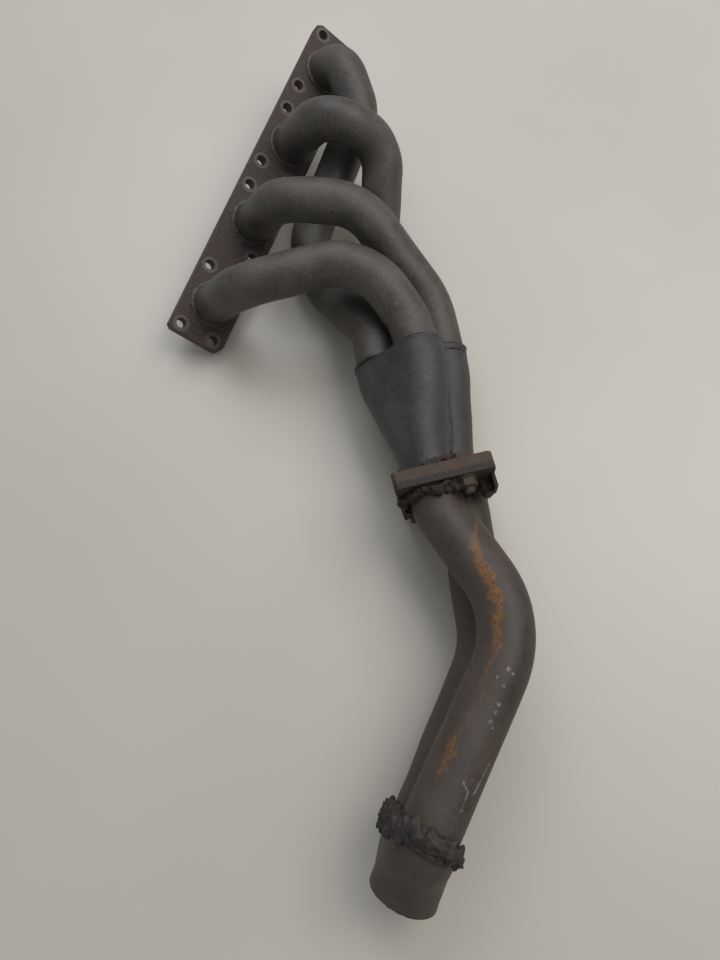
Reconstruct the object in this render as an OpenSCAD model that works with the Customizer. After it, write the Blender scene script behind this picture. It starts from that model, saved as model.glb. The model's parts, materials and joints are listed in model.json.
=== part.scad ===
// Tubular exhaust manifold for a four-cylinder engine, four into two into one.
//
// A long head flange carries four exhaust ports. A bent primary tube leaves each port.
// Tubes 1 and 4 join in one collector and tubes 2 and 3 in the other, so that pulses
// alternate evenly. A bolted two-hole flange joint follows, then two secondary tubes,
// which merge in one outlet pipe.
//
// The manifold lies on a level surface at z = 0, on the low corner of the head flange,
// on the belly of tube 1 and on the lower corner of the joint flanges. X runs across the
// manifold, Y along it from the outlet towards port 1, and Z is up. Units are millimetres.

/* [Shown piece] */

// Piece to draw

/* [Head flange] */

// Length of the plate along the row of ports
plate_length = 352; // [320:1:380]
// Width of the plate
plate_width = 54; // [48:1:70]
// Thickness of the plate
plate_thickness = 12; // [8:0.5:14]
// Distance between neighbouring port centres
port_pitch = 91; // [80:0.5:100]
// Bore of each port
port_bore_d = 34; // [30:0.5:36]
// Depth of the recess that takes the end of a tube
port_recess = 5; // [3:0.5:7]
// Diameter of the stud holes
stud_hole_d = 9; // [8:0.5:11]
// Distance of each stud hole from its port centre, measured along the plate
stud_reach = 31.5; // [28:0.5:34]
// Diameter of the washer seat round each stud hole
washer_seat_d = 16; // [14:0.5:20]
// Depth of the washer seat
washer_seat_depth = 0.3; // [0.1:0.1:1]

/* [Primary tubes] */

// Outside diameter of a primary tube
primary_od = 38.1; // [35:0.1:40]
// Wall of a primary tube
primary_wall = 1.5; // [1.2:0.1:2]

/* [Collectors] */

// Length of tube held inside each collector socket
socket_length = 10; // [8:0.5:16]
// Wall of the collectors
collector_wall = 1.2; // [1:0.1:2]
// Outside diameter of each collector outlet
collector_outlet_od = 42; // [40:0.5:45]

/* [Flange joint] */

// Thickness of the flange on the collectors
collector_flange_thickness = 7; // [6:0.5:12]
// Thickness of the gasket
gasket_thickness = 1.5; // [1:0.1:3]
// Thickness of the flange on the secondary tubes
downpipe_flange_thickness = 5; // [4:0.5:10]
// Thread diameter of the joint bolts
bolt_d = 8; // [6:1:10]
// Width across the flats of heads and nuts
hex_flats = 13; // [10:0.5:17]
// Outside diameter of the joint washers
washer_od = 16; // [14:0.5:20]

/* [Secondary tubes] */

// Outside diameter of a secondary tube
secondary_od = 42; // [40:0.5:45]
// Wall of a secondary tube
secondary_wall = 1.6; // [1.2:0.1:2]

/* [Outlet] */

// Outside diameter of the outlet pipe
outlet_od = 50; // [48:0.5:55]
// Wall of the outlet pipe
outlet_wall = 1.7; // [1.2:0.1:3]
// Length of the round end that a downstream pipe or clamp fits over
outlet_spigot = 22; // [18:1:30]

/* [Hidden] */

$fn = 72;

// Facets round the discs that a tapered shell is stretched over.
shell_facets = 36;
// Room kept free for a tube this far ahead of its socket, past the neighbouring socket.
clear_run = 12;
// Air gap between a tube and whatever surrounds it.
gap = 0.3;
// Extra length that lets a cutting shape pass right through.
over = 1;
// Straight pieces run this far into each bend.
lap = 0.6;
// A bend is drawn a little thick, as pressed bends are.
bend_swell_out = 0.2;
bend_swell_in = 0.1;

plate_colour = "#4a403c";
tube_colour = "#4b4641";
collector_colour = "#3f3f3f";
joint_colour = "#6b5a4c";
weld_colour = "#2e2a27";
gasket_colour = "#77726a";
fastener_colour = "#5a4f46";
secondary_colour = "#4a423d";

function unit(v) = v / norm(v);

// ---- Head flange frame: x along the ports, y across, z out of the tube side ----

port_row = unit([-0.3775, -0.9172, -0.1272]);
face_hint = [0.4777, -0.3105, 0.8218];
face_normal = unit(face_hint - port_row * (face_hint * port_row));
plate_across = cross(face_normal, port_row);
// Centre of port 1 on the tube side of the plate.
port_1 = [-8, 350.5, 63.15];
// Distance of port 1 from the far end, and of the row of ports from the left edge.
first_port_x = 39.5;
port_line_y = 28;

function port_centre(k) = port_1 + (k - 1) * port_pitch * port_row;

// Stud holes as [port number, side of the port along the row, distance from the left edge].
stud_holes = [
    [1, -1, 9.5],
    [1, 1, 9.5],
    [1, 1, 42],
    [2, -1, 9.5],
    [2, 1, 9.5],
    [2, 1, 42],
    [3, -1, 9.5],
    [3, 1, 42],
    [4, -1, 9.5],
    [4, 1, 9.5],
    [4, 1, 42]
];

// ---- Tube routes: bend corners in order, then the bend radius at each corner ----

// A tube starts inside its port recess, 0.5 mm above the floor, and leaves square to the plate.
tube_start_depth = port_recess - 0.5;

function from_port(k, leg) = [
    port_centre(k) - tube_start_depth * face_normal,
    port_centre(k) + leg * face_normal
];

route_1 = concat(from_port(1, 31), [
    [27.1, 286.1, 71],
    [-27.4, 172.6, 19.25],
    [-5.9, 120.1, 19.25],
    [37.1, 56.6, 51.5],
    [44.2, 7.3, 56.8]
]);
radii_1 = [32, 42, 50, 45, 40];

route_2 = concat(from_port(2, 83.5), [
    [48.1, 235.1, 84],
    [44.1, 168.1, 38],
    [69.1, 105.1, 21.3],
    [66.4, 32.1, 21.3]
]);
radii_2 = [32, 36, 50, 50];

route_3 = concat(from_port(3, 73), [
    [25.1, 154.1, 99],
    [88.6, 84.6, 55.5],
    [101.7, 27.3, 42.5]
]);
radii_3 = [42, 55, 60];

route_4 = concat(from_port(4, 73), [
    [27.6, 103.1, 97],
    [67.6, 48.1, 81.5],
    [76.6, 11.3, 82.2]
]);
radii_4 = [42, 55, 40];

function route_end(route) = route[len(route) - 1];
function route_end_dir(route) = unit(route_end(route) - route[len(route) - 2]);

// ---- Flange joint frame: x along the flange, y up, z in the direction of flow ----

joint_centre = [86.4, -88.1, 51.1];
joint_flow = unit([0.242, -0.969, -0.052]);
joint_x = unit([0.970, 0.242, 0]);
joint_y = cross(joint_flow, joint_x);
// Pipe centres and bolt centres in the flange plane.
left_pipe = [-5, 18];
right_pipe = [22, -18];
bolt_centres = [[-20, -14], [37, 14], [18, 40], [-1, -40]];

function on_joint(p, z) = joint_centre + p[0] * joint_x + p[1] * joint_y + z * joint_flow;

// Levels along the flow, from the middle of the collector flange.
collector_flange_z0 = -collector_flange_thickness / 2;
gasket_z0 = collector_flange_thickness / 2;
downpipe_flange_z0 = gasket_z0 + gasket_thickness;
downpipe_flange_z1 = downpipe_flange_z0 + downpipe_flange_thickness;
// The tapered part of a collector ends this far ahead of the flange's middle.
taper_end_z = -14;
pipe_hole_d = collector_outlet_od + 0.7;
bolt_hole_d = bolt_d + 0.8;

joint_outline = [
    [-36, 50],
    [37, 50],
    [41, 46],
    [51.5, -42],
    [49, -47],
    [-19, -50.6],
    [-23, -47],
    [-38.5, 46]
];

// ---- Secondary tube routes ----

// Both leave the joint square to the flange before they bend.
route_front = [
    on_joint(left_pipe, downpipe_flange_z0 + 1),
    on_joint(left_pipe, 25),
    [142.6, -203.9, 81],
    [66, -352.7, 81.6]
];
radii_front = [50, 75];

route_back = [
    on_joint(right_pipe, downpipe_flange_z0 + 1),
    on_joint(right_pipe, 25),
    [125.6, -217.9, 28],
    [64.6, -347.9, 38.5]
];
radii_back = [50, 75];

// ---- Outlet ----

outlet_end = [56.1, -383.1, 41.2];
outlet_dir = unit([-0.345, -0.851, -0.392]);
outlet_taper_end = outlet_end - outlet_spigot * outlet_dir;
// Length of the sleeve that holds the two secondary tubes.
merge_sleeve = 6;

// Turns local z to the direction d and moves the origin to p.
module along(p, d) {
    side = abs(d[2]) < 0.9 ? unit(cross([0, 0, 1], d)) : unit(cross([1, 0, 0], d));
    top = cross(d, side);
    multmatrix([
        [side[0], top[0], d[0], p[0]],
        [side[1], top[1], d[1], p[1]],
        [side[2], top[2], d[2], p[2]],
        [0, 0, 0, 1]
    ])
        children();
}

// Places children in a frame given by its origin and three unit axes.
module in_frame(p, x, y, z) {
    multmatrix([
        [x[0], y[0], z[0], p[0]],
        [x[1], y[1], z[1], p[1]],
        [x[2], y[2], z[2], p[2]],
        [0, 0, 0, 1]
    ])
        children();
}

module on_plate() {
    in_frame(port_1 - first_port_x * port_row - port_line_y * plate_across,
             port_row, plate_across, face_normal)
        children();
}

module in_joint() {
    in_frame(joint_centre, joint_x, joint_y, joint_flow)
        children();
}

// Straight hollow pipe from point a to point b.
module straight_pipe(a, b, r_out, r_in) {
    length = norm(b - a);
    along(a, unit(b - a))
        difference() {
            cylinder(h = length, r = r_out);
            translate([0, 0, -over])
                cylinder(h = length + 2 * over, r = r_in);
        }
}

// Hollow bend at the corner c, coming in along d_in and leaving along d_out.
module bend_pipe(c, d_in, d_out, radius, r_out, r_in) {
    turn = acos(d_in * d_out);
    inward = unit(d_out - d_in * (d_in * d_out));
    centre = c - d_in * radius * tan(turn / 2) + radius * inward;
    in_frame(centre, -inward, d_in, cross(-inward, d_in))
        rotate_extrude(angle = turn)
            translate([radius, 0])
                difference() {
                    circle(r = r_out + bend_swell_out);
                    circle(r = r_in - bend_swell_in);
                }
}

// Length of straight pipe that a bend takes away on each side of its corner.
function tangent_length(points, radii, i) =
    i == 0 || i == len(points) - 1
        ? 0
        : radii[i - 1] * tan(acos(unit(points[i] - points[i - 1]) * unit(points[i + 1] - points[i])) / 2);

// Bent tube through the corner points, with one bend radius for each inner corner.
module bent_tube(points, radii, od, wall) {
    last = len(points) - 1;
    for (i = [0:last - 1]) {
        d = unit(points[i + 1] - points[i]);
        from = i == 0 ? 0 : tangent_length(points, radii, i) - lap;
        to = i == last - 1 ? 0 : tangent_length(points, radii, i + 1) - lap;
        straight_pipe(points[i] + d * from, points[i + 1] - d * to, od / 2, od / 2 - wall);
    }
    for (i = [1:last - 1])
        bend_pipe(points[i], unit(points[i] - points[i - 1]), unit(points[i + 1] - points[i]),
                  radii[i - 1], od / 2, od / 2 - wall);
}

// Round fillet weld that stands on z = 0 round a tube of radius r.
module fillet_ring(r, width, height) {
    rotate_extrude()
        translate([r, 0])
            polygon([
                [0, 0],
                [width, 0],
                [width * 0.85, height * 0.35],
                [width * 0.45, height * 0.8],
                [0, height]
            ]);
}

module disc(p, d, r, h = 1) {
    along(p, d)
        cylinder(h = h, r = r, $fn = shell_facets);
}

module corner_arc_plate() {
    arc = 8;
    polygon(concat(
        [[0, 5], [4, 0], [plate_length - 3, 0], [plate_length, 4]],
        [for (a = [0:15:90]) [
            plate_length - arc + arc * cos(a),
            plate_width - arc + arc * sin(a)
        ]],
        [[5, plate_width], [0, plate_width - 4]]
    ));
}

module head_flange() {
    color(plate_colour)
        on_plate()
            difference() {
                translate([0, 0, -plate_thickness])
                    linear_extrude(plate_thickness)
                        corner_arc_plate();
                for (k = [1:4])
                    translate([first_port_x + (k - 1) * port_pitch, port_line_y, 0]) {
                        translate([0, 0, -plate_thickness - over])
                            cylinder(h = plate_thickness + 2 * over, d = port_bore_d);
                        translate([0, 0, -port_recess])
                            cylinder(h = port_recess + over, d = primary_od + 2 * gap);
                    }
                for (s = stud_holes)
                    translate([first_port_x + (s[0] - 1) * port_pitch + s[1] * stud_reach, s[2], 0]) {
                        translate([0, 0, -plate_thickness - over])
                            cylinder(h = plate_thickness + 2 * over, d = stud_hole_d);
                        translate([0, 0, -washer_seat_depth])
                            cylinder(h = over, d = washer_seat_d);
                    }
            }
}

module primary_tube(route, radii) {
    color(tube_colour)
        bent_tube(route, radii, primary_od, primary_wall);
}

module primary_tube_1() {
    primary_tube(route_1, radii_1);
}

module primary_tube_2() {
    primary_tube(route_2, radii_2);
}

module primary_tube_3() {
    primary_tube(route_3, radii_3);
}

module primary_tube_4() {
    primary_tube(route_4, radii_4);
}

module port_weld(k) {
    color(weld_colour)
        in_frame(port_centre(k), port_row, plate_across, face_normal)
            fillet_ring(primary_od / 2 + gap, 5.5, 4.5);
}

module port_weld_1() {
    port_weld(1);
}

module port_weld_2() {
    port_weld(2);
}

module port_weld_3() {
    port_weld(3);
}

module port_weld_4() {
    port_weld(4);
}

// Pipe from a disc at a, facing d, to a disc at the collector outlet b, by way of one between.
module cone_in_two_steps(a, d, r_a, b, r_b) {
    way = unit(b - a);
    middle = (a + b) / 2 + 3 * d - 3 * way;
    hull() {
        disc(a, d, r_a);
        disc(middle, way, (r_a + r_b) / 2);
    }
    hull() {
        disc(middle, way, (r_a + r_b) / 2);
        disc(b, joint_flow, r_b);
    }
}

// Two sockets that taper into one round outlet in the flange. The bores are cut this far
// ahead of the sockets (run), where a tube passes close to the other socket.
module collector(route_a, route_b, pipe, run) {
    ends = [route_end(route_a), route_end(route_b)];
    dirs = [route_end_dir(route_a), route_end_dir(route_b)];
    bore_r = primary_od / 2 + gap;
    outlet_r = collector_outlet_od / 2;
    taper_end = on_joint(pipe, taper_end_z);
    color(collector_colour)
        difference() {
            union() {
                for (i = [0:1])
                    along(ends[i] - dirs[i] * socket_length, dirs[i])
                        cylinder(h = socket_length + 0.5, r = bore_r + collector_wall);
                for (i = [0:1])
                    cone_in_two_steps(ends[i], dirs[i], bore_r + collector_wall + 0.4,
                                      taper_end, outlet_r + 0.6);
                along(taper_end, joint_flow)
                    cylinder(h = -taper_end_z + gasket_z0 - 1, r = outlet_r);
            }
            for (i = [0:1])
                along(ends[i] - dirs[i] * (socket_length + run), dirs[i])
                    cylinder(h = socket_length + run + 0.5, r = bore_r);
            for (i = [0:1])
                cone_in_two_steps(ends[i], dirs[i], bore_r - 0.6, taper_end, outlet_r - 1.4);
            along(taper_end, joint_flow)
                cylinder(h = -taper_end_z + gasket_z0 + over, r = outlet_r - 1.7);
        }
}

module collector_left() {
    collector(route_4, route_1, left_pipe, over);
}

module collector_right() {
    collector(route_3, route_2, right_pipe, clear_run);
}

// Beads where a pair of tubes enters the sockets of a collector.
module socket_welds(route_a, route_b) {
    ends = [route_end(route_a), route_end(route_b)];
    dirs = [route_end_dir(route_a), route_end_dir(route_b)];
    clear_r = primary_od / 2 + gap;
    color(weld_colour)
        difference() {
            for (i = [0:1])
                along(ends[i] - dirs[i] * socket_length, -dirs[i])
                    fillet_ring(clear_r - 0.5, 2.4, 4);
            for (i = [0:1])
                along(ends[i] - dirs[i] * (socket_length + clear_run), dirs[i])
                    cylinder(h = clear_run + 8, r = clear_r);
        }
}

module socket_welds_left() {
    socket_welds(route_4, route_1);
}

module socket_welds_right() {
    socket_welds(route_3, route_2);
}

// Long bead in the valley between the two collectors.
module collector_seam_weld() {
    start = [94.2, 11.1, 64.8];
    finish = [100.5, -64.9, 59.7];
    length = norm(finish - start);
    color(weld_colour)
        along(start, unit(finish - start))
            rotate_extrude()
                polygon([
                    [0, 0],
                    [2.4, 0.8],
                    [3.2, 3],
                    [3.2, length - 3],
                    [2.4, length - 0.8],
                    [0, length]
                ]);
}

module joint_plate(z0, thickness, pipe_d) {
    translate([0, 0, z0])
        difference() {
            linear_extrude(thickness)
                polygon(joint_outline);
            for (p = [left_pipe, right_pipe])
                translate([p[0], p[1], -over])
                    cylinder(h = thickness + 2 * over, d = pipe_d);
            for (p = bolt_centres)
                translate([p[0], p[1], -over])
                    cylinder(h = thickness + 2 * over, d = bolt_hole_d);
        }
}

module collector_flange() {
    color(joint_colour)
        in_joint()
            joint_plate(collector_flange_z0, collector_flange_thickness, pipe_hole_d);
}

module collector_flange_welds() {
    color(weld_colour)
        in_joint()
            for (p = [left_pipe, right_pipe])
                translate([p[0], p[1], collector_flange_z0])
                    mirror([0, 0, 1])
                        fillet_ring(collector_outlet_od / 2 + gap, 2.1, 4);
}

module flange_gasket() {
    color(gasket_colour)
        in_joint()
            joint_plate(gasket_z0, gasket_thickness, collector_outlet_od - 2);
}

module downpipe_flange() {
    ear = 2.5;
    color(joint_colour)
        in_joint() {
            joint_plate(downpipe_flange_z0, downpipe_flange_thickness, pipe_hole_d);
            // Ears folded out of the flange's rim.
            translate([-29.5, -6, downpipe_flange_z1 - 1])
                rotate([0, 0, 9.5])
                    cube([ear, 28, 13]);
            translate([8, -48, downpipe_flange_z1 - 1])
                cube([14, ear, 12]);
            translate([45, 10, downpipe_flange_z1 - 1])
                rotate([0, 0, 6.8])
                    translate([-ear, 0, 0])
                        cube([ear, 24, 12]);
        }
}

module downpipe_flange_welds() {
    color(weld_colour)
        in_joint()
            for (p = [left_pipe, right_pipe])
                translate([p[0], p[1], downpipe_flange_z1])
                    fillet_ring(secondary_od / 2 + gap, 2.1, 3.6);
}

module flange_bolts() {
    head_height = 5.3;
    color(fastener_colour)
        in_joint()
            for (p = bolt_centres)
                translate([p[0], p[1], collector_flange_z0]) {
                    translate([0, 0, -head_height])
                        cylinder(h = head_height, d = hex_flats / cos(30), $fn = 6);
                    translate([0, 0, -1])
                        cylinder(h = downpipe_flange_z1 - collector_flange_z0 + 14, d = bolt_d);
                }
}

module flange_washers() {
    color(fastener_colour)
        in_joint()
            for (p = bolt_centres)
                translate([p[0], p[1], downpipe_flange_z1])
                    difference() {
                        cylinder(h = 1.6, d = washer_od);
                        translate([0, 0, -over])
                            cylinder(h = 1.6 + 2 * over, d = bolt_hole_d);
                    }
}

module flange_nuts() {
    nut_height = 6.5;
    color(fastener_colour)
        in_joint()
            for (p = bolt_centres)
                translate([p[0], p[1], downpipe_flange_z1 + 1.6])
                    difference() {
                        cylinder(h = nut_height, d = hex_flats / cos(30), $fn = 6);
                        translate([0, 0, -over])
                            cylinder(h = nut_height + 2 * over, d = bolt_d + 0.6);
                    }
}

module secondary_tube_front() {
    color(secondary_colour)
        bent_tube(route_front, radii_front, secondary_od, secondary_wall);
}

module secondary_tube_back() {
    color(secondary_colour)
        bent_tube(route_back, radii_back, secondary_od, secondary_wall);
}

// Thick bead that closes the mouth of the outlet round the two secondary tubes.
module merge_weld() {
    routes = [route_front, route_back];
    bead = 9;
    color(weld_colour)
        difference() {
            hull()
                for (r = routes)
                    disc(route_end(r) - route_end_dir(r) * (merge_sleeve + bead),
                         route_end_dir(r), secondary_od / 2 + 3.6, bead - 0.4);
            for (r = routes)
                along(route_end(r) - route_end_dir(r) * (merge_sleeve + 2 * bead), route_end_dir(r))
                    cylinder(h = 3 * bead, d = secondary_od + 2 * gap);
        }
}

module outlet_pipe() {
    routes = [route_front, route_back];
    sleeve_r = secondary_od / 2 + 0.6;
    color(secondary_colour)
        difference() {
            union() {
                hull() {
                    for (r = routes)
                        disc(route_end(r) - route_end_dir(r) * merge_sleeve,
                             route_end_dir(r), sleeve_r + outlet_wall, merge_sleeve);
                    disc(outlet_taper_end, outlet_dir, outlet_od / 2 + 0.5);
                }
                along(outlet_taper_end, outlet_dir)
                    cylinder(h = outlet_spigot, d = outlet_od);
            }
            hull()
                for (r = routes)
                    disc(route_end(r) - route_end_dir(r) * (merge_sleeve + over),
                         route_end_dir(r), sleeve_r, merge_sleeve + over + 0.5);
            hull() {
                for (r = routes)
                    disc(route_end(r), route_end_dir(r), sleeve_r - 1.2);
                disc(outlet_taper_end, outlet_dir, outlet_od / 2 - outlet_wall + 0.4);
            }
            along(outlet_taper_end, outlet_dir)
                cylinder(h = outlet_spigot + over, d = outlet_od - 2 * outlet_wall);
        }
}

head_flange();
primary_tube_1();
primary_tube_2();
primary_tube_3();
primary_tube_4();
port_weld_1();
port_weld_2();
port_weld_3();
port_weld_4();
collector_left();
collector_right();
socket_welds_left();
socket_welds_right();
collector_seam_weld();
collector_flange();
collector_flange_welds();
flange_gasket();
downpipe_flange();
downpipe_flange_welds();
flange_bolts();
flange_washers();
flange_nuts();
secondary_tube_front();
secondary_tube_back();
merge_weld();
outlet_pipe();
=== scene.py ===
# %% [markdown]
# # A used tubular exhaust manifold
#
# The manifold lies on a pale table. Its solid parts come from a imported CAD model, which
# is loaded as a fixed frame. This lesson keeps the flat plates and the fasteners from the
# CAD model and gives them rusty finishes. It swaps the tubes, the collectors, the outlet
# and the weld beads for smooth surfaces worked out with numpy.

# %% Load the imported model
import json
from math import radians
import bmesh
import bpy
import numpy as np
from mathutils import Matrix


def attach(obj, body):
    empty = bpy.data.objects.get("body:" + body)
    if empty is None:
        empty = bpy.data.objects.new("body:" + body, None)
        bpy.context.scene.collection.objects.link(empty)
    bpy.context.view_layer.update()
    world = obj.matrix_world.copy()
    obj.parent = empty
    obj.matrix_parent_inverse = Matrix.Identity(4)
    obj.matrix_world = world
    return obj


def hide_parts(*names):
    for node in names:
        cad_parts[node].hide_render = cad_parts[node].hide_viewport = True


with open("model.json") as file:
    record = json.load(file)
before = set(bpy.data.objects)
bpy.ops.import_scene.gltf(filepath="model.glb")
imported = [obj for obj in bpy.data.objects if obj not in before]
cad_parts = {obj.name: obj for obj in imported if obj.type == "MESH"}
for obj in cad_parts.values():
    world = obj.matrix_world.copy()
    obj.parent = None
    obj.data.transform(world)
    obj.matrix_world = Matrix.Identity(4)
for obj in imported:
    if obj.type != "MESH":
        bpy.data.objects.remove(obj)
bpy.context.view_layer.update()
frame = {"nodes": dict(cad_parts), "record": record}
nodes = frame["nodes"]
mounts = {m["name"]: m for m in frame["record"]["mounts"]}
MM = 0.001

# %% [markdown]
# ## The camera, the table and the light
#
# The camera is set first, so that every later choice can be judged through it. It looks
# down at the table from about 0.6 m and leans 20 degrees towards the far end, which is
# why the near end looks larger. The lens is a wide one, as on a telephone held overhead.

# %% Camera
camera_data = bpy.data.cameras.new("camera")
camera_data.lens = 27.04
camera_data.sensor_width = 36.0
camera = bpy.data.objects.new("camera", camera_data)
camera.location = (0.0261, -0.2859, 0.6067)
camera.rotation_euler = (radians(20), 0.0, 0.0)
bpy.context.scene.collection.objects.link(camera)
bpy.context.scene.camera = camera
print("camera height", camera.location.z)

# %% [markdown]
# ## Colours and nodes
#
# Colours are written as the hex values that a screen shows, and one function turns them
# into the linear values that Blender's shaders expect. A second small function adds a
# node, fills in its settings and joins its inputs, so a material reads like a recipe.

# %% Colour and node helpers
def linear(hex_colour):
    """sRGB hex to linear RGBA: below 0.04045 divide by 12.92, above it use the 2.4 power curve."""
    srgb = np.array([int(hex_colour[i:i + 2], 16) / 255 for i in (1, 3, 5)])
    low, high = srgb / 12.92, ((srgb + 0.055) / 1.055) ** 2.4
    return tuple(np.where(srgb <= 0.04045, low, high).tolist()) + (1.0,)


def add(tree, kind, inputs=None, **settings):
    """Adds a node of that kind. Each input gets a value, or a link if it is given a socket."""
    node = tree.nodes.new(kind)
    for name, value in settings.items():
        setattr(node, name, value)
    for key, value in (inputs or {}).items():
        if isinstance(value, bpy.types.NodeSocket):
            tree.links.new(value, node.inputs[key])
        else:
            node.inputs[key].default_value = value
    return node


def ramp(tree, fac, stops):
    """Colour ramp through (position, colour) stops; a plain number means a grey."""
    node = add(tree, "ShaderNodeValToRGB", {"Fac": fac})
    elements = node.color_ramp.elements
    while len(elements) < len(stops):
        elements.new(0.5)
    for element, (position, colour) in zip(elements, stops):
        element.position = position
        element.color = linear(colour) if isinstance(colour, str) else (colour,) * 3 + (1.0,)
    return node.outputs["Color"]


def mix(tree, fac, a, b):
    """Mixes two colours by a factor. Either colour may be a hex value or a socket."""
    node = add(tree, "ShaderNodeMix", data_type="RGBA")
    for index, value in ((0, fac), (6, a), (7, b)):
        if isinstance(value, bpy.types.NodeSocket):
            tree.links.new(value, node.inputs[index])
        else:
            node.inputs[index].default_value = linear(value) if isinstance(value, str) else value
    return node.outputs[2]


print("tube brown in linear light:", np.round(linear("#46423d"), 3).tolist())

# %% [markdown]
# ## Oxidised steel
#
# Every metal piece here is mild steel that has been red hot and then rusted. The oxide is
# not a metal, so the finish is a dark, fairly rough dielectric. Four layers make it:
# broad mottling, as oxide grows unevenly; fine speckle, where flakes have lifted;
# scattered orange rust; and a bump made of grains and flakes. One recipe makes them all, with
# sizes in real millimetres, so that the finishes belong together and yet differ. Three
# extras are switched on where they are needed: a rust streak, bare scrapes, and the pale
# prints that washers leave round stud holes.

# %% The oxidised steel recipe
def noise(tree, coords, size_mm, detail=4.0, roughness=0.6, distortion=0.0):
    """Noise whose blotches are about size_mm across."""
    node = add(tree, "ShaderNodeTexNoise", {
        "Vector": coords, "Scale": 1000.0 / size_mm, "Detail": detail,
        "Roughness": roughness, "Distortion": distortion})
    return node.outputs["Fac"]


def oxidised_steel(name, dark, light, speckle, speckle_amount, rust, rust_cover,
                   roughness=(0.5, 0.75), grain_mm=0.9, bump_mm=0.25, mottle_mm=28.0,
                   streak=False, chips=False, prints=()):
    """Steel under oxide. A higher rust_cover spreads orange rust over more of the surface."""
    material = bpy.data.materials.new(name)
    material.use_nodes = True
    tree = material.node_tree
    shader = tree.nodes["Principled BSDF"]
    coords = add(tree, "ShaderNodeTexCoord").outputs["Object"]
    mottle = noise(tree, coords, mottle_mm, 5.0, 0.62, 0.4)
    colour = mix(tree, ramp(tree, mottle, [(0.3, 0.0), (0.7, 1.0)]), dark, light)
    flakes = noise(tree, coords, 2.2, 3.0, 0.7)
    flecks = ramp(tree, flakes, [(0.55, 0.0), (0.72, speckle_amount)])
    colour = mix(tree, flecks, colour, speckle)
    pits = ramp(tree, noise(tree, coords, 3.5, 3.0, 0.7, 0.3), [(0.28, 0.55), (0.42, 0.0)])
    colour = mix(tree, pits, colour, "#1d1a18")
    edge = 0.78 - 0.36 * rust_cover
    bloom = noise(tree, coords, 14.0, 6.0, 0.7, 0.8)
    rusty = ramp(tree, bloom, [(edge - 0.1, 0.0), (edge + 0.05, 0.85)])
    grain = noise(tree, coords, grain_mm, 4.0, 0.65)
    rust_colour = mix(tree, grain, rust, "#3a2418")
    colour = mix(tree, rusty, colour, rust_colour)
    if streak:
        # The streak attribute says where water has run; noise breaks it into flakes.
        where = add(tree, "ShaderNodeAttribute", attribute_name="streak").outputs["Fac"]
        ragged = noise(tree, coords, 5.0, 6.0, 0.8, 1.5)
        torn = add(tree, "ShaderNodeMath", {0: where, 1: ragged}, operation="MULTIPLY").outputs[0]
        colour = mix(tree, ramp(tree, torn, [(0.22, 0.0), (0.46, 0.85)]), colour,
                     mix(tree, ramp(tree, flakes, [(0.35, 0.0), (0.65, 1.0)]), "#51321b", "#875a24"))
    if chips:
        where = add(tree, "ShaderNodeAttribute", attribute_name="chips").outputs["Fac"]
        scraped = noise(tree, coords, 2.6, 4.0, 0.7, 1.2)
        torn = add(tree, "ShaderNodeMath", {0: where, 1: scraped}, operation="MULTIPLY").outputs[0]
        colour = mix(tree, ramp(tree, torn, [(0.36, 0.0), (0.48, 0.6)]), colour, "#969085")
    if len(prints):
        # Washers kept the rust off a ring round each stud hole. A ramp runs from 0 to 1, so the
        # distance to the nearest hole is turned into a share of 20 mm.
        away = 1.0
        for hole in prints:
            gap = add(tree, "ShaderNodeVectorMath", {0: coords, 1: tuple(hole)}, operation="DISTANCE")
            away = add(tree, "ShaderNodeMath", {0: gap.outputs["Value"], 1: away},
                       operation="MINIMUM").outputs[0]
        share = add(tree, "ShaderNodeMath", {0: away, 1: 50.0}, operation="MULTIPLY").outputs[0]
        ring = ramp(tree, share, [(0.24, 0.0), (0.27, 0.4), (0.36, 0.4), (0.41, 0.0)])
        colour = mix(tree, ring, colour, "#7d746c")
    tree.links.new(colour, shader.inputs["Base Color"])
    rough = add(tree, "ShaderNodeMapRange", {
        "Value": mottle, "From Min": 0.3, "From Max": 0.7,
        "To Min": roughness[0], "To Max": roughness[1]}).outputs["Result"]
    tree.links.new(rough, shader.inputs["Roughness"])
    height = add(tree, "ShaderNodeMath", {0: grain, 1: flakes}, operation="ADD").outputs[0]
    bump = add(tree, "ShaderNodeBump", {
        "Height": height, "Strength": 0.6, "Distance": bump_mm * MM})
    tree.links.new(bump.outputs["Normal"], shader.inputs["Normal"])
    return material


# %% The finishes
PLATE_FACE = 8.5  # mm from the middle of a port's bore to the tube side of the plate


def stud_holes():
    """Middle of each stud hole on the tube side of the plate, in metres, from the mounts."""
    first, last = (np.array(mounts[f"port_{k}"]["pos_m"]) for k in (1, 4))
    row = (last - first) / np.linalg.norm(last - first)
    holes = []
    for name, mount in mounts.items():
        if name.startswith("studs"):
            out = -np.array(mount["axis"]) / np.linalg.norm(mount["axis"])
            middle = np.array(mount["pos_m"])
            middle += out * ((first + PLATE_FACE * MM * out - middle) @ out)
            half = mount["dims"]["pcd_mm"] / 2 * MM
            holes += [middle - half * row, middle + half * row]
    return holes


# Laser-cut plate: an even purplish-brown bloom with a fine pale speckle.
plate_steel = oxidised_steel("plate_steel_bloomed", "#332b2a", "#4a3f3a", "#776b63", 0.5,
                             "#6c4029", 0.22, (0.6, 0.85), 1.1, 0.35, 22.0, prints=stud_holes())
# Mandrel-bent tube: dark, smooth scale that still takes a soft light along the top.
tube_steel = oxidised_steel("tube_steel_scaled", "#35312e", "#544f49", "#7a746c", 0.42,
                            "#6d4a33", 0.1, (0.42, 0.62), 0.8, 0.26, 32.0)
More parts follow.
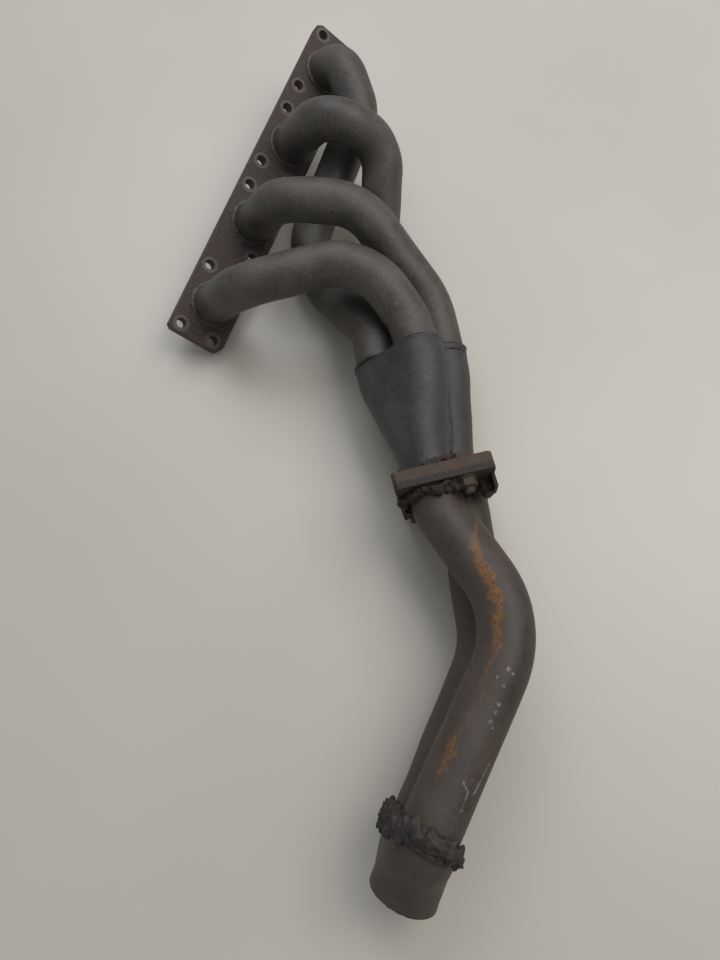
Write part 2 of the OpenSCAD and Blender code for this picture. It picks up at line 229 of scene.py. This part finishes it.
# Pressed collector: colder and darker, with a dense light speckle.
collector_steel = oxidised_steel("collector_steel_scaled", "#282726", "#3d3b3a", "#6a6765", 0.4,
                                 "#5d4535", 0.07, (0.42, 0.6), 0.7, 0.3, 26.0)
# Secondary tube: browner, with a run of bright rust and bare scrapes.
secondary_steel = oxidised_steel("secondary_tube_rusted", "#322b26", "#4b4139", "#645b51", 0.32,
                                 "#6a4229", 0.15, (0.45, 0.66), 0.8, 0.18, 30.0,
                                 streak=True, chips=True)
# Flame-cut flange: thick, layered rust.
joint_steel = oxidised_steel("joint_flange_rusted", "#352c26", "#56473c", "#6e5e50", 0.5,
                             "#70411f", 0.38, (0.65, 0.9), 1.6, 0.6, 12.0)
# The hotter flange below it: a dark crust of scale and soot.
crust = oxidised_steel("joint_crust_scaled", "#211d1b", "#3a322d", "#5b4f46", 0.4,
                       "#6a3b20", 0.26, (0.6, 0.9), 1.6, 0.9, 9.0)
# Weld metal with soot and slag: nearly black.
weld_metal = oxidised_steel("weld_bead_sooty", "#25211f", "#3d3733", "#5a524b", 0.35,
                            "#6b4127", 0.16, (0.5, 0.75), 1.2, 0.5, 9.0)
# Dull steel facing of the gasket, seen only at its edge.
gasket_sheet = oxidised_steel("gasket_facing_dull", "#2e2925", "#433b34", "#645a4f", 0.3,
                              "#6e4426", 0.3, (0.6, 0.8), 1.0, 0.2, 8.0)
# Plain hexagon fasteners, rusted harder than what they hold.
fastener_steel = oxidised_steel("fastener_steel_rusted", "#2e2622", "#4d4037", "#6d5d50", 0.45,
                                "#78441f", 0.36, (0.65, 0.9), 1.0, 0.35, 6.0)
print("finishes:", len(bpy.data.materials))

# %% [markdown]
# ## Keeping the CAD plates
#
# The plates, the gasket and the fasteners are flat or hexagonal, and the CAD model draws
# those exactly. Their meshes stay as they are, and only their material slots change.

# %% Finishes for the CAD pieces
CAD_FINISH = {
    "head_flange": plate_steel,
    "collector_flange": joint_steel,
    "downpipe_flange": crust,
    "flange_gasket": gasket_sheet,
    "flange_bolts": fastener_steel,
    "flange_washers": fastener_steel,
    "flange_nuts": fastener_steel,
}
for node_name, finish in CAD_FINISH.items():
    slots = nodes[node_name].data.materials
    slots.clear()
    slots.append(finish)
print("CAD pieces kept:", ", ".join(CAD_FINISH))

# %% [markdown]
# ## From a grid of points to a mesh
#
# A tube or a bead is a grid: rows run along it and columns run round it. Here the rows
# also close on themselves, because a hollow tube goes out along its outer skin and comes
# back along its bore. Quads join each point to its neighbours. The signed volume tells
# which way the faces point, so the order is turned round where it comes out negative.

# %% The grid surface
def grid_surface(name, grid, material, node_names, close_rows=True, attributes=None):
    """Mesh from a (rows, columns, 3) grid in mm, closed round its columns, and its rows if asked."""
    rows, cols = grid.shape[:2]
    index = np.arange(rows * cols).reshape(rows, cols)
    nearer = index if close_rows else index[:-1]
    farther = np.roll(index, -1, axis=0) if close_rows else index[1:]
    quads = np.stack([nearer, np.roll(nearer, -1, 1), np.roll(farther, -1, 1), farther], -1)
    quads = quads.reshape(-1, 4)
    points = grid.reshape(-1, 3) * MM
    a, b, c, d = (points[quads[:, k]] for k in range(4))
    volume = (np.einsum("ij,ij->i", a, np.cross(b, c)) + np.einsum("ij,ij->i", a, np.cross(c, d))).sum()
    if volume < 0:
        quads = quads[:, ::-1]
    mesh = bpy.data.meshes.new(name)
    mesh.from_pydata(points.tolist(), [], quads.tolist())
    for key, values in (attributes or {}).items():
        layer = mesh.attributes.new(key, "FLOAT", "POINT")
        layer.data.foreach_set("value", np.ascontiguousarray(values, np.float32).ravel())
    mesh.polygons.foreach_set("use_smooth", np.ones(len(quads), bool))
    mesh.materials.append(material)
    mesh.update()
    piece = bpy.data.objects.new(name, mesh)
    bpy.context.scene.collection.objects.link(piece)
    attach(piece, "root")
    if node_names:
        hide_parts(*node_names)
    print(f"{name}: {len(quads)} quads")
    return piece


# %% [markdown]
# ## Unevenness that repeats exactly
#
# Real welds and old tubes are never even. A few sine waves in seeded directions, added
# up, make a smooth bumpy value at any point in space. Because the seed is fixed, the same
# bumps come back every time the lesson runs.

# %% Smooth seeded bumps
def bumps(points, size_mm, seed, waves=14):
    """Sum of seeded plane waves whose lengths are near size_mm, scaled to about -1 to 1."""
    rng = np.random.default_rng(seed)
    ways = rng.normal(size=(waves, 3))
    ways /= np.linalg.norm(ways, axis=1, keepdims=True)
    ways *= 2 * np.pi / (size_mm * rng.uniform(0.7, 1.5, (waves, 1)))
    phases = rng.uniform(0, 2 * np.pi, waves)
    return np.sin(points @ ways.T + phases).sum(-1) / np.sqrt(waves * 0.8)


print("bumps at the origin:", round(float(bumps(np.zeros(3), 10, 1)), 3))

# %% [markdown]
# ## Tubes from a bend table
#
# A tube bender works from corner points and a bend radius at each corner, and so does
# this function. Each corner is cut off by an arc that touches both legs. The arc starts
# at the bend radius times the tangent of half the turn away from the corner.

# %% Centre line of a bent tube
def unit(v):
    """Vectors scaled to length one."""
    v = np.asarray(v, float)
    return v / np.linalg.norm(v, axis=-1, keepdims=True)


def centre_line(corners, radii, step=2.5):
    """Points along straight legs and arcs. Each arc is centre + R(-inward cos t + along sin t)."""
    corners = np.asarray(corners, float)
    parts, last = [], corners[0]
    for before, corner, after, radius in zip(corners, corners[1:], corners[2:], radii):
        along, leaving = unit(corner - before), unit(after - corner)
        turn = np.arccos(np.clip(along @ leaving, -1, 1))
        inward = unit(leaving - along * (along @ leaving))
        start = corner - along * radius * np.tan(turn / 2)
        count = max(2, int(np.linalg.norm(start - last) / step))
        parts.append(last + (start - last) * np.arange(count)[:, None] / count)
        count = max(4, int(radius * turn / step))
        angle = (turn * np.arange(count) / count)[:, None]
        parts.append(start + radius * inward + radius * (-inward * np.cos(angle) + along * np.sin(angle)))
        last = corner + leaving * radius * np.tan(turn / 2)
    count = max(2, int(np.linalg.norm(corners[-1] - last) / step))
    parts.append(last + (corners[-1] - last) * np.linspace(0, 1, count + 1)[:, None])
    return np.concatenate(parts)


def carried_frames(line):
    """Directions along, sideways and upwards, carried along the line without twisting."""
    along = unit(np.gradient(line, axis=0))
    side = np.empty_like(along)
    side[0] = unit(np.cross(along[0], [0.3, 0.2, 1.0]))
    for row in range(1, len(line)):
        side[row] = unit(side[row - 1] - along[row] * (along[row] @ side[row - 1]))
    return along, side, np.cross(along, side)


def round_grid(line, radius, sides):
    """Circle of the given radius carried along the line, with dents of a quarter of a millimetre."""
    along, side, up = carried_frames(line)
    angles = np.arange(sides)[:, None] * 2 * np.pi / sides
    ring = side[:, None] * np.cos(angles) + up[:, None] * np.sin(angles)
    skin = line[:, None] + ring * radius
    return skin + ring * 0.22 * bumps(skin, 38, 3)[..., None], ring


# %% [markdown]
# The corner points below are the manifold's bend table, in millimetres. The first point
# of each primary tube lies in a recess of the head flange, and the second straight above
# it. The record's mounts say where each port is and which way it faces.

# %% The bend tables
def port(k):
    """Centre of port k on the tube side of the plate, in mm, and the direction out of it."""
    mount = mounts[f"port_{k}"]
    out = -unit(mount["axis"])
    return np.array(mount["pos_m"]) / MM + out * PLATE_FACE, out


TUBE_DEPTH = 4.5  # mm that a tube goes down into its recess


def from_port(k, leg, rest):
    """Bend table that starts down in the recess and rises by leg before it bends."""
    centre, out = port(k)
    return [centre - TUBE_DEPTH * out, centre + leg * out] + rest


PRIMARY_R = 19.05
BENDS = {
    "primary_tube_1": (from_port(1, 31, [[27.1, 286.1, 71], [-27.4, 172.6, 19.25],
                                         [-5.9, 120.1, 19.25], [37.1, 56.6, 51.5],
                                         [44.2, 7.3, 56.8]]), [32, 42, 50, 45, 40]),
    "primary_tube_2": (from_port(2, 83.5, [[48.1, 235.1, 84], [44.1, 168.1, 38],
                                           [69.1, 105.1, 21.3], [66.4, 32.1, 21.3]]),
                       [32, 36, 50, 50]),
    "primary_tube_3": (from_port(3, 73, [[25.1, 154.1, 99], [88.6, 84.6, 55.5],
                                         [101.7, 27.3, 42.5]]), [42, 55, 60]),
    "primary_tube_4": (from_port(4, 73, [[27.6, 103.1, 97], [67.6, 48.1, 81.5],
                                         [76.6, 11.3, 82.2]]), [42, 55, 40]),
}
JOINT = np.array([86.4, -88.1, 51.1])
FLOW = unit([0.242, -0.969, -0.052])
JOINT_X = unit([0.970, 0.242, 0])
JOINT_Y = np.cross(FLOW, JOINT_X)
LEFT_PIPE, RIGHT_PIPE = (-5, 18), (22, -18)


def on_joint(p, z):
    """Point at (x, y) on the joint flange, z mm along the flow from its middle."""
    return JOINT + p[0] * JOINT_X + p[1] * JOINT_Y + z * FLOW


SECONDARY_R = 21.0
SECONDARY = {
    "secondary_tube_front": ([on_joint(LEFT_PIPE, 6), on_joint(LEFT_PIPE, 25),
                              [142.6, -203.9, 81], [66, -352.7, 81.6]], [50, 75]),
    "secondary_tube_back": ([on_joint(RIGHT_PIPE, 6), on_joint(RIGHT_PIPE, 25),
                             [125.6, -217.9, 28], [64.6, -347.9, 38.5]], [50, 75]),
}
print("port 1 at", np.round(port(1)[0], 1).tolist(), "joint at", JOINT.tolist())

# %% [markdown]
# A tube wall is two skins. The outer one runs from the first row to the last, the bore
# runs back again, and the grid closes, so both ends get a flat rim. Where water has run
# down the front tube it left a rust streak, and where it was dragged it is scraped. Two
# numbers stored on every point say where, and the material reads them. A painted mask
# would do as well, but numbers on the mesh need no image file.

# %% Streak and scrapes
def line_length(line):
    """Distance run along the line at each of its points."""
    return np.concatenate([[0], np.linalg.norm(np.diff(line, axis=0), axis=1).cumsum()])


def spots(points, centres):
    """How near each point is to any of the (x, y, z, reach) spots: exp(-(gap / reach) squared)."""
    nearest = np.zeros(points.shape[:-1])
    for *centre, reach in centres:
        gap = np.linalg.norm(points - centre, axis=-1)
        nearest = np.maximum(nearest, np.exp(-(gap / reach) ** 2))
    return nearest


# Where the rust ran: mm along the front tube, degrees it leans to the left of the tube's
# crown, half width in mm, and strength.
STREAK = np.array([
    [42, -48, 3.0, 0.0], [50, -38, 5.5, 0.9], [57, -14, 6.0, 0.8], [64, 6, 6.0, 1.0],
    [94, 17, 5.0, 1.0], [131, 28, 4.2, 0.95], [150, 31, 4.2, 0.75], [171, 26, 3.2, 0.6],
    [202, 27, 3.2, 0.55], [216, 31, 4.6, 0.85], [232, 28, 4.4, 0.8], [254, 28, 2.4, 0.0]]).T


def rust_run(line, grid):
    """Strength of the streak: exp(-(distance round the tube from its middle / half width) squared)."""
    along = unit(np.gradient(line, axis=0))
    left = unit(np.cross(along, [0, 0, 1]))
    crown = np.cross(left, along)
    spoke = unit(grid - line[:, None])
    lean = np.arctan2((spoke * left[:, None]).sum(-1), (spoke * crown[:, None]).sum(-1))
    middle, width, strength = (np.interp(line_length(line), STREAK[0], row)[:, None] for row in STREAK[1:])
    offset = (lean - np.radians(middle)) * SECONDARY_R + 1.6 * bumps(grid, 11, 17)
    return strength * np.exp(-(offset / width) ** 2)


def scratch(a, b, reach=1.7):
    """Spots in a row from one point to another."""
    return [(*p, reach) for p in np.linspace(a, b, int(np.linalg.norm(np.subtract(b, a)) / 0.8))]


# Chips as (x, y, z, reach), then a straight scratch and a crooked one.
SCRAPES = [(127, -239, 102, 3.0), (130, -242, 101, 2.4), (119, -244, 102, 2.0), (123, -250, 102, 2.6),
           (119, -262, 101, 2.8), (117, -267, 101, 2.6), (113, -273, 102, 3.2), (114, -277, 101, 2.0)]
SCRAPES += scratch((111, -299, 95), (100, -318, 97)) + scratch((93, -310, 102), (96, -316, 100))
SCRAPES += scratch((96, -316, 100), (91, -327, 99))
print("scrape spots:", len(SCRAPES))

# %% Build the bent tubes
def bent_tube(name, corners, radii, r_out, wall, material, marked=False):
    """Hollow tube: outer skin along the line, then the bore back along it."""
    line = centre_line(corners, radii, 1.3 if marked else 2.5)
    outer, ring = round_grid(line, r_out, 132 if marked else 72)
    inner = outer - ring * wall
    grid = np.concatenate([outer, inner[::-1]])
    streak, chips = np.zeros((2, *grid.shape[:2]))
    if marked:
        streak[:len(line)] = rust_run(line, outer)
        chips[:len(line)] = spots(outer, SCRAPES)
    return grid_surface(name, grid, material, [name[:-5]],
                        attributes={"streak": streak, "chips": chips})


for name, (corners, radii) in BENDS.items():
    bent_tube(name + "_skin", corners, radii, PRIMARY_R, 1.5, tube_steel)
for name, (corners, radii) in SECONDARY.items():
    bent_tube(name + "_skin", corners, radii, SECONDARY_R, 1.6, secondary_steel,
              marked=name.endswith("front"))

# %% [markdown]
# ## Two tubes into one
#
# A collector starts as two overlapping circles and ends as one. Seen from the middle, the
# edge of two circles of radius r, whose centres lie a to each side, is
# a |cos t| + sqrt(r squared - a squared sin squared t) away. Shrinking a along the centre
# line melts the two circles together. The flat-sided outline of a band stretched round
# both circles is mixed in, because pressed collectors are nearly flat between their tubes.

# %% Merging shell
def pair_outline(angles, half_gap, radius, fill):
    """Distance from the middle to the edge of two circles, mixed with the band round them."""
    c, s = np.abs(np.cos(angles)), np.abs(np.sin(angles))
    circles = half_gap * np.sqrt(c * c + 0.004) + np.sqrt(np.maximum(radius**2 - (half_gap * s) ** 2, 9.0))
    band = np.where(radius * c <= half_gap * s, radius / np.maximum(s, 1e-6), circles)
    return circles + (band - circles) * fill


def merging_shell(name, line, pair_way, half_gap, radius, wall, fill, material, node,
                  rough_end=0.0):
    """Shell whose section is pair_outline, carried along the line, with a bore inside it."""
    along = unit(np.gradient(line, axis=0))
    across = unit(pair_way - along * (along @ pair_way)[:, None])
    up = np.cross(along, across)
    angles = np.arange(96) * 2 * np.pi / 96
    ring = across[:, None] * np.cos(angles)[:, None] + up[:, None] * np.sin(angles)[:, None]
    reach = pair_outline(angles[None], half_gap[:, None], radius[:, None], fill[:, None])
    outer = line[:, None] + ring * reach[..., None]
    outer += ring * 0.3 * bumps(outer, 30, 5)[..., None]
    inner = outer - ring * wall
    if rough_end:
        # A hacksaw wanders: the last rows move along the pipe by a seeded amount.
        wander = rough_end * (bumps(outer[-1], 16, 8) + 0.4 * bumps(outer[-1], 4, 9))
        for skin in (outer, inner):
            skin[-1] += along[-1] * np.minimum(wander, 0.2)[:, None]
    grid = np.concatenate([outer, inner[::-1]])
    zero = np.zeros(grid.shape[:2])
    grid_surface(name, grid, material, [node], attributes={"streak": zero, "chips": zero})
    return outer


def eased(x):
    """Smooth step from 0 to 1."""
    x = np.clip(x, 0, 1)
    return x * x * (3 - 2 * x)


def mouth(bends, back):
    """End point of a tube, its direction, and the point that far back from its end."""
    end, way = np.array(bends[-1], float), unit(np.array(bends[-1], float) - np.array(bends[-2], float))
    return end, way, end - way * back


# %% [markdown]
# A collector begins a little ahead of the tube ends, so that the tubes reach into it as
# into a socket. Its gap is widest there and closes at the pipe on the joint flange. The
# outlet is the same kind of shell, but it closes faster and ends in a rough hacksaw cut.

# %% Collectors
SOCKET = 10  # mm that a primary tube reaches into its collector
SOCKET_R, COLLECTOR_PIPE_R = 20.6, 21.0


def collector(name, tube_a, tube_b, pipe, fill):
    """Socket mouths ahead of the tube ends, then a taper into the pipe on the flange."""
    end_a, way_a, mouth_a = mouth(BENDS[tube_a][0], SOCKET)
    end_b, way_b, mouth_b = mouth(BENDS[tube_b][0], SOCKET)
    corners = [(mouth_a + mouth_b) / 2, (end_a + end_b) / 2, on_joint(pipe, -18), on_joint(pipe, 3)]
    line = centre_line(corners, [30, 60], 2.0)
    run = line_length(line)
    taper = (run - 12) / (run[-1] - 12 - 17)
    taper = (eased(taper) + np.clip(taper, 0, 1)) / 2
    half_gap = np.linalg.norm(end_a - end_b) / 2 * (1 - taper)
    radius = SOCKET_R + (COLLECTOR_PIPE_R - SOCKET_R) * taper
    merging_shell(name, line, mouth_a - mouth_b, half_gap, radius, 1.4,
                  fill + (0.9 - fill) * taper, collector_steel, name[:-6])


collector("collector_left_shell", "primary_tube_4", "primary_tube_1", LEFT_PIPE, 0.95)
collector("collector_right_shell", "primary_tube_3", "primary_tube_2", RIGHT_PIPE, 0.8)

# %% Outlet
MERGE_SLEEVE = 6  # mm that the outlet covers of each tube
MERGE_R, OUTLET_R = 23.3, 25.0  # radius round each tube, and of the pipe at the end
front, _, front_mouth = mouth(SECONDARY["secondary_tube_front"][0], MERGE_SLEEVE)
back, _, back_mouth = mouth(SECONDARY["secondary_tube_back"][0], MERGE_SLEEVE)
outlet_way = unit(mounts["outlet"]["axis"])
outlet_end = np.array(mounts["outlet"]["pos_m"]) / MM + outlet_way * 11
corners = [(front_mouth + back_mouth) / 2, (front + back) / 2,
           outlet_end - outlet_way * 12, outlet_end]
line = centre_line(corners, [10, 25], 1.2)
run = line_length(line)
taper = 1 - (1 - np.clip(run / (run[-1] - 3), 0, 1)) ** 2.6
outlet_skin = merging_shell(
    "outlet_pipe_shell", line, front_mouth - back_mouth,
    np.linalg.norm(front - back) / 2 * (1 - taper), MERGE_R + (OUTLET_R - MERGE_R) * taper, 1.7,
    np.ones(len(run)), secondary_steel, "outlet_pipe", rough_end=0.7)

# %% [markdown]
# ## Weld beads
#
# A bead is a small circle carried round a closed path. Hand welding leaves ripples where
# each drop froze, so the circle swells and shrinks every few millimetres, and slower
# bumps push it about. The beads round the ports are neat and as dark as the tubes. The
# joint is caked in crust, and the weld round the outlet is fat, black and badly lumpy.

# %% Beads along closed paths
def resampled_loop(path, step=0.9):
    """Closed path with points an equal step apart."""
    closed = np.vstack([path, path[:1]])
    run = line_length(closed)
    where = np.linspace(0, run[-1], max(24, int(run[-1] / step)), endpoint=False)
    return np.stack([np.interp(where, run, closed[:, k]) for k in range(3)], -1)


def bead_grid(path, axis, radius, ripple, lump, pitch, seed, heavy=None, spread=1.0):
    """Ellipse of changing size round each point of the loop, spread times wider than it is high."""
    path = resampled_loop(path)
    path = path + unit(axis) * radius * 1.6 * lump * bumps(path, 22, seed + 3)[:, None]
    along = unit(np.roll(path, -1, 0) - np.roll(path, 1, 0))
    out = unit(np.cross(along, axis))
    across = np.cross(out, along)
    angles = np.arange(28) * 2 * np.pi / 28
    ring = out[:, None] * np.cos(angles)[:, None] + spread * across[:, None] * np.sin(angles)[:, None]
    run = line_length(path)[:, None]
    beat = ripple * (np.abs(np.sin(np.pi * run / pitch + 0.3 * angles[None])) - 0.6)
    skin = path[:, None] + ring * radius
    size = radius * (1 + beat + lump * bumps(skin, 9, seed) + 0.8 * lump * bumps(skin, 4, seed + 1)
                     + 0.5 * lump * bumps(skin, 2.2, seed + 2))
    if heavy is not None:
        # More metal was laid on the side that faces this way.
        size *= 1 + 0.35 * (unit(path - path.mean(0)) @ unit(heavy))[:, None]
    return path[:, None] + ring * size[..., None]


def bead(name, paths, axis, radius, replaced, ripple=0.2, lump=0.12, pitch=3.2, seed=1,
         material=weld_metal, heavy=None, spread=1.0):
    """One weld piece, or a piece for each path where there are several."""
    for k, path in enumerate(paths):
        grid = bead_grid(path, axis, radius, ripple, lump, pitch, seed + 10 * k, heavy, spread)
        label = name if len(paths) == 1 else f"{name}_{'abc'[k]}"
        grid_surface(label, grid, material, replaced)


def circle_path(centre, axis, radius, lift=0.0):
    """Circle round an axis, lifted along it."""
    axis = unit(axis)
    side = unit(np.cross(axis, [0.2, 0.9, 0.4]))
    angles = np.arange(90)[:, None] * 2 * np.pi / 90
    return centre + axis * lift + radius * (side * np.cos(angles) + np.cross(axis, side) * np.sin(angles))


CRUST_GAP = 4.0  # mm from the pipes to the middle of the crust


def crust_path(level):
    """Outline of the band stretched round both pipes, and clear of them, at a level of the joint."""
    left, right = on_joint(LEFT_PIPE, level), on_joint(RIGHT_PIPE, level)
    way = unit(left - right)
    angles = np.arange(120) * 2 * np.pi / 120
    spoke = way * np.cos(angles)[:, None] + np.cross(FLOW, way) * np.sin(angles)[:, None]
    reach = pair_outline(angles, np.linalg.norm(left - right) / 2, SECONDARY_R + CRUST_GAP, 1.0)
    return (left + right) / 2 + spoke * reach[:, None]


# %% Lay the beads
for k in (1, 2, 3, 4):
    centre, out = port(k)
    bead(f"port_weld_{k}_bead", [circle_path(centre, out, 19.7, -0.2)], out, 2.1,
         [f"port_weld_{k}"], 0.1, 0.1, 3.4, 20 + k, tube_steel)
for side, pair in (("left", ("primary_tube_4", "primary_tube_1")),
                   ("right", ("primary_tube_3", "primary_tube_2"))):
    paths = [circle_path(mouth(BENDS[t][0], SOCKET + 0.1)[2], mouth(BENDS[t][0], 0)[1], 20.0)
             for t in pair]
    bead(f"socket_welds_{side}_bead", paths, mouth(BENDS[pair[0]][0], 0)[1], 1.5,
         [f"socket_welds_{side}"], 0.08, 0.08, 3.0, 40, collector_steel)
# Either side of the joint, a ring of crust hugs both pipes as well as the two weld runs.
for name, level, radius, seed in (("collector_flange", -4.7, 3.0, 60),
                                  ("downpipe_flange", 12.0, 3.9, 70)):
    paths = [circle_path(on_joint(p, level), FLOW, 22.0) for p in (LEFT_PIPE, RIGHT_PIPE)]
    bead(f"{name}_weld_bead", paths + [crust_path(level)], FLOW, radius, [f"{name}_welds"],
         0.2, 0.26, 5.0, seed, crust)
bead("merge_weld_bead", [outlet_skin[0] + outlet_way * 0.5],
     outlet_way, 3.7, ["merge_weld"], 0.1, 0.22, 7.0, 90, heavy=(-1, 0.3, 0.2), spread=1.8)

# %% [markdown]
# The seam between the two collectors is an open bead, so it has two ends. There the
# circle shrinks to a point, and the points that land on each other are merged. It has the
# collectors' own finish, because it lies smooth in the valley between them.

# %% Seam bead
SEAM_R = 4.6
seam = np.linspace([94.2, 11.1, 65.8], [100.5, -64.9, 61.2], 60)
along, side, up = carried_frames(seam)
angles = np.arange(18) * 2 * np.pi / 18
ring = side[:, None] * np.cos(angles)[:, None] + up[:, None] * np.sin(angles)[:, None]
swell = np.sqrt(np.sin(np.linspace(0, np.pi, 60)))[:, None]
seam_skin = seam[:, None] + ring * SEAM_R
size = SEAM_R * swell * (1 + 0.1 * bumps(seam_skin, 8, 5))
seam_bead = grid_surface("collector_seam_bead", seam[:, None] + ring * size[..., None], collector_steel,
                         ["collector_seam_weld"], close_rows=False)
work = bmesh.new()
work.from_mesh(seam_bead.data)
bmesh.ops.remove_doubles(work, verts=work.verts, dist=1e-6)
bmesh.ops.recalc_face_normals(work, faces=work.faces)
work.to_mesh(seam_bead.data)
work.free()
print("seam bead", round(float(np.linalg.norm(seam[-1] - seam[0])), 1), "mm long")

# %% [markdown]
# ## The table and the light
#
# The table is a pale painted sheet with a slight gloss, so the manifold leaves a faint,
# blurred reflection. One large lamp high on the right gives the broad shadow on the left,
# and a weak even sky fills it in.

# %% Table
table_paint = bpy.data.materials.new("table_paint_satin")
table_paint.use_nodes = True
tree = table_paint.node_tree
paint = tree.nodes["Principled BSDF"]
coords = add(tree, "ShaderNodeTexCoord").outputs["Object"]
cloudy = noise(tree, coords, 260.0, 3.0, 0.5)
tree.links.new(mix(tree, cloudy, "#bcb7ae", "#c8c3ba"), paint.inputs["Base Color"])
paint.inputs["Roughness"].default_value = 0.42
table_mesh = bpy.data.meshes.new("table")
table_mesh.from_pydata([(-3, -3, 0), (3, -3, 0), (3, 3, 0), (-3, 3, 0)], [], [(0, 1, 2, 3)])
table_mesh.materials.append(table_paint)
table = bpy.data.objects.new("table", table_mesh)
table.location.z = -0.0002
bpy.context.scene.collection.objects.link(table)

# %% Light
def lamp(name, place, target, size, watts, colour):
    """Square area lamp that faces its target."""
    data = bpy.data.lights.new(name, "AREA")
    data.size, data.energy, data.color = size, watts, linear(colour)[:3]
    light = bpy.data.objects.new(name, data)
    light.location = place
    way = np.array(target, float) - np.array(place, float)
    turn = np.arctan2(way[1], way[0]) - np.pi / 2
    drop = np.arctan2(np.hypot(way[0], way[1]), -way[2])
    light.rotation_euler = (drop, 0, turn)
    bpy.context.scene.collection.objects.link(light)


lamp("window_right", (0.9, 0.35, 1.7), (0, 0, 0), 1.3, 19, "#fbf8f1")
lamp("ceiling_far", (-0.3, 1.3, 1.7), (0, 0, 0), 1.2, 14, "#f2f5ff")
world = bpy.data.worlds.new("room")
world.use_nodes = True
world.node_tree.nodes["Background"].inputs["Color"].default_value = linear("#d9dbdc")
world.node_tree.nodes["Background"].inputs["Strength"].default_value = 0.5
bpy.context.scene.world = world
bpy.context.scene.view_settings.view_transform = "Standard"
print("lamps:", len(bpy.data.lights))

# %% [markdown]
# ## Bringing the scene up to date
#
# The last step brings the view layer up to date. The finished pieces must stay within the
# CAD model's box.

# %% Update the view layer
bpy.context.view_layer.update()
